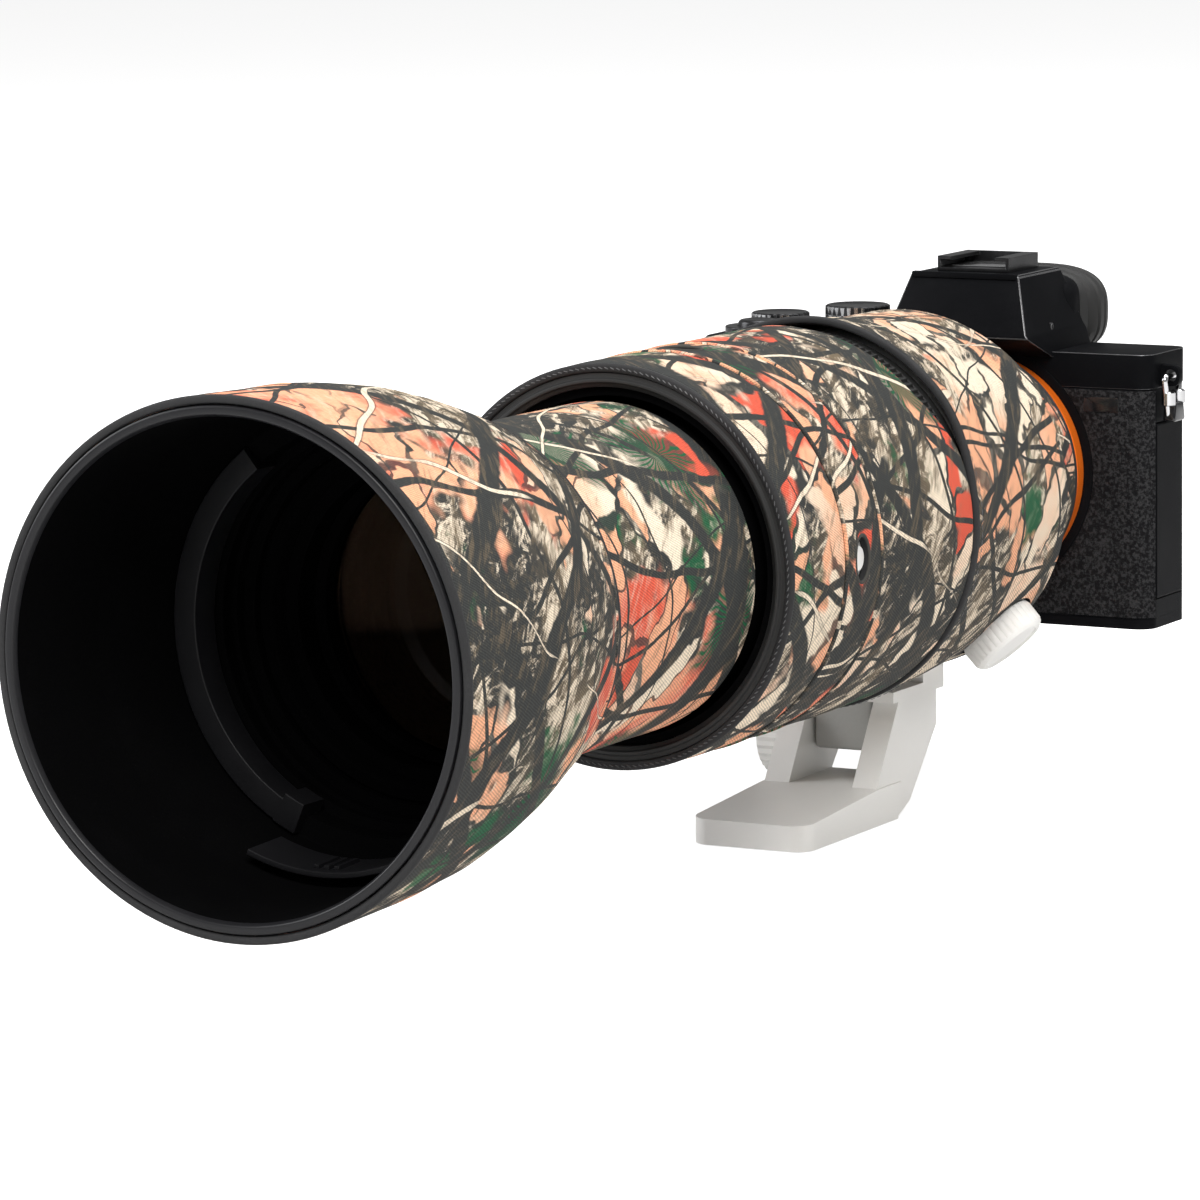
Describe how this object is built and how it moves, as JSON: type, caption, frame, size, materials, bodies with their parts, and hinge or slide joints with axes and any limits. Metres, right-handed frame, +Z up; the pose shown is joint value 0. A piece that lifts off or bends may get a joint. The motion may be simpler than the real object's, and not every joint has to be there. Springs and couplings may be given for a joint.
{
  "type": "camera with telephoto zoom lens",
  "caption": "Mirrorless camera with a long extending zoom lens, bayonet hood, tripod collar and foot, dressed in padded camouflage cloth sleeves.",
  "frame": {"origin": "centre of the tripod socket's mouth in the bottom face of the lens foot", "axes": "+Z up; the lens points along -Y; +X is to the right as seen from in front of the lens"},
  "size_m": [0.1396, 0.4187, 0.1394],
  "materials": {
    "camo_cloth": "2 mm padded cloth printed with a woodland pattern",
    "black_shell": "matt black",
    "light_barrel": "light warm grey paint",
    "light_paint": "light warm grey paint, satin",
    "grey_paint": "grey paint",
    "ring_rubber": "ribbed black rubber",
    "lens_glass": "coated optical glass",
    "black_inner": "blackened inner part",
    "bare_steel": "polished steel",
    "orange_ring": "orange anodised",
    "grained_skin": "fine grained black skin",
    "black_case": "satin black paint",
    "screen_face": "glossy black",
    "dial_metal": "black anodised and knurled",
    "sensor_face": "glossy",
    "circuit_board": "green solder mask",
    "battery_case": "dark grey"
  },
  "bodies": {
    "tripod_collar": {"tripod_foot": "light_paint", "foot_clamp_block": "grey_paint", "collar_ring": "light_paint", "rear_sleeve": "camo_cloth"},
    "collar_lock": {"collar_lock_knob": "light_paint"},
    "foot_clamp": {"foot_clamp_knob": "light_paint"},
    "camera_and_barrel": {"rear_barrel": "light_barrel", "lens_bayonet": "bare_steel", "guide_tube": "light_barrel", "rear_lens_group": "lens_glass", "stabiliser_unit": "black_inner", "aperture_unit": "black_inner", "button_band": "light_barrel", "button_band_sleeve": "camo_cloth", "front_housing": "grained_skin", "hand_grip": "grained_skin", "rear_housing": "grained_skin", "top_cover": "black_case", "base_plate": "black_case", "body_mount": "bare_steel", "mount_trim_ring": "orange_ring", "sensor_unit": "sensor_face", "shutter_unit": "black_inner", "main_board": "circuit_board", "battery": "battery_case", "hot_shoe": "bare_steel", "viewfinder_unit": "black_shell", "eyecup": "ring_rubber"},
    "zoom_ring": {"zoom_ring": "ring_rubber", "zoom_ring_sleeve": "camo_cloth"},
    "focus_ring": {"focus_ring": "light_barrel", "focus_grip": "ring_rubber", "focus_ring_sleeve": "camo_cloth"},
    "focus_group": {"focus_lens_group": "black_inner"},
    "extending_barrel": {"inner_barrel": "light_barrel", "inner_barrel_sleeve": "camo_cloth", "filter_ring": "black_shell", "front_lens_group": "lens_glass"},
    "hood": {"lens_hood": "black_shell", "hood_sleeve": "camo_cloth"},
    "hood_window": {"hood_window": "black_shell"},
    "hold_button_side": {"hold_button_side": "light_barrel"},
    "hold_button_top": {"hold_button_top": "light_barrel"},
    "hold_button_far": {"hold_button_far": "light_barrel"},
    "mode_dial": {"mode_dial": "dial_metal"},
    "exposure_dial": {"exposure_dial": "dial_metal"},
    "shutter_button": {"shutter_button": "dial_metal"},
    "power_lever": {"power_lever": "dial_metal"},
    "front_dial": {"front_dial": "dial_metal"},
    "rear_dial": {"rear_dial": "dial_metal"},
    "control_wheel": {"control_wheel": "dial_metal"},
    "rear_buttons": {"rear_buttons": "dial_metal"},
    "screen_bracket": {"screen_bracket": "black_case"},
    "screen": {"screen_panel": "screen_face"},
    "battery_door": {"battery_door": "black_case"},
    "card_door": {"card_door": "grained_skin"},
    "port_door": {"port_door": "grained_skin"},
    "strap_ring_near": {"strap_ring_near": "bare_steel"},
    "strap_ring_far": {"strap_ring_far": "bare_steel"},
    "lens_release": {"lens_release_button": "dial_metal"}
  },
  "joints": [
    {"name": "collar_turn", "type": "hinge", "parent": "tripod_collar", "child": "camera_and_barrel", "pos_m": [0, 0.055, 0.08], "axis": [0, 1, 0], "continuous": true},
    {"name": "collar_lock_turn", "type": "hinge", "parent": "tripod_collar", "child": "collar_lock", "pos_m": [0.03261, 0.055, 0.04478], "axis": [0.6794, 0, -0.7337], "range_deg": [-360, 0]},
    {"name": "foot_clamp_turn", "type": "hinge", "parent": "tripod_collar", "child": "foot_clamp", "pos_m": [-0.02, 0.0375, 0.0185], "axis": [-1, 0, 0], "range_deg": [-360, 0]},
    {"name": "zoom_turn", "type": "hinge", "parent": "camera_and_barrel", "child": "zoom_ring", "pos_m": [0, -0.082, 0.08], "axis": [0, 1, 0], "range_deg": [0, 80]},
    {"name": "barrel_extend", "type": "slide", "parent": "camera_and_barrel", "child": "extending_barrel", "axis": [0, 1, 0], "range_m": [0, 0.076]},
    {"name": "hood_turn", "type": "hinge", "parent": "extending_barrel", "child": "hood", "pos_m": [0, -0.185, 0.08], "axis": [0, 1, 0], "range_deg": [0, 60]},
    {"name": "hood_window_turn", "type": "hinge", "parent": "hood", "child": "hood_window", "pos_m": [0, -0.224, 0.08], "axis": [0, 1, 0], "range_deg": [0, 32]},
    {"name": "focus_turn", "type": "hinge", "parent": "camera_and_barrel", "child": "focus_ring", "pos_m": [0, -0.025, 0.08], "axis": [0, 1, 0], "continuous": true},
    {"name": "focus_travel", "type": "slide", "parent": "camera_and_barrel", "child": "focus_group", "axis": [0, 1, 0], "range_m": [-0.003, 0.003]},
    {"name": "hold_button_side_press", "type": "slide", "parent": "camera_and_barrel", "child": "hold_button_side", "axis": [-1, 0, 0], "range_m": [0, 0.0006], "stiffness_N_per_m": 600, "springref_m": -0.001},
    {"name": "hold_button_top_press", "type": "slide", "parent": "camera_and_barrel", "child": "hold_button_top", "axis": [0, 0, -1], "range_m": [0, 0.0006], "stiffness_N_per_m": 600, "springref_m": -0.001},
    {"name": "hold_button_far_press", "type": "slide", "parent": "camera_and_barrel", "child": "hold_button_far", "axis": [1, 0, 0], "range_m": [0, 0.0006], "stiffness_N_per_m": 600, "springref_m": -0.001},
    {"name": "mode_dial_turn", "type": "hinge", "parent": "camera_and_barrel", "child": "mode_dial", "pos_m": [-0.04, 0.12, 0.116], "axis": [0, 0, 1], "continuous": true},
    {"name": "exposure_dial_turn", "type": "hinge", "parent": "camera_and_barrel", "child": "exposure_dial", "pos_m": [-0.0665, 0.126, 0.115], "axis": [0, 0, 1], "range_deg": [-108, 108]},
    {"name": "power_lever_turn", "type": "hinge", "parent": "camera_and_barrel", "child": "power_lever", "pos_m": [-0.0615, 0.103, 0.115], "axis": [0, 0, 1], "range_deg": [0, 35]},
    {"name": "shutter_press", "type": "slide", "parent": "camera_and_barrel", "child": "shutter_button", "axis": [0, 0, -1], "range_m": [0, 0.0014], "stiffness_N_per_m": 600, "springref_m": -0.001},
    {"name": "front_dial_turn", "type": "hinge", "parent": "camera_and_barrel", "child": "front_dial", "pos_m": [-0.0615, 0.0935, 0.1023], "axis": [1, 0, 0], "continuous": true},
    {"name": "rear_dial_turn", "type": "hinge", "parent": "camera_and_barrel", "child": "rear_dial", "pos_m": [-0.0615, 0.132, 0.1065], "axis": [0, 0, 1], "continuous": true},
    {"name": "control_wheel_turn", "type": "hinge", "parent": "camera_and_barrel", "child": "control_wheel", "pos_m": [-0.0525, 0.137, 0.07], "axis": [0, 1, 0], "continuous": true},
    {"name": "rear_buttons_press", "type": "slide", "parent": "camera_and_barrel", "child": "rear_buttons", "axis": [0, -1, 0], "range_m": [0, 0.0005], "stiffness_N_per_m": 600, "springref_m": -0.001},
    {"name": "lens_release_press", "type": "slide", "parent": "camera_and_barrel", "child": "lens_release", "axis": [0, 1, 0], "range_m": [0, 0.002], "stiffness_N_per_m": 600, "springref_m": -0.001},
    {"name": "bracket_tilt", "type": "hinge", "parent": "camera_and_barrel", "child": "screen_bracket", "pos_m": [0.008, 0.13275, 0.046], "axis": [-1, 0, 0], "range_deg": [0, 41]},
    {"name": "screen_tilt", "type": "hinge", "parent": "screen_bracket", "child": "screen", "pos_m": [0.008, 0.138, 0.0942], "axis": [1, 0, 0], "range_deg": [0, 107]},
    {"name": "battery_door_open", "type": "hinge", "parent": "camera_and_barrel", "child": "battery_door", "pos_m": [-0.0515, 0.112, 0.039], "axis": [0, -1, 0], "range_deg": [0, 95]},
    {"name": "card_door_open", "type": "hinge", "parent": "camera_and_barrel", "child": "card_door", "pos_m": [-0.0755, 0.114, 0.073], "axis": [0, 0, 1], "range_deg": [0, 100]},
    {"name": "port_door_open", "type": "hinge", "parent": "camera_and_barrel", "child": "port_door", "pos_m": [0.0505, 0.114, 0.07], "axis": [0, 0, -1], "range_deg": [0, 110]},
    {"name": "strap_ring_near_swing", "type": "hinge", "parent": "camera_and_barrel", "child": "strap_ring_near", "pos_m": [0.0526, 0.119, 0.106], "axis": [0, -1, 0], "range_deg": [-5, 140]},
    {"name": "strap_ring_far_swing", "type": "hinge", "parent": "camera_and_barrel", "child": "strap_ring_far", "pos_m": [-0.0776, 0.119, 0.106], "axis": [0, 1, 0], "range_deg": [-5, 140]}
  ],
  "couplings": [
    {"joint": "barrel_extend", "follows": "zoom_turn", "m_per_rad": 0.054359}
  ]
}
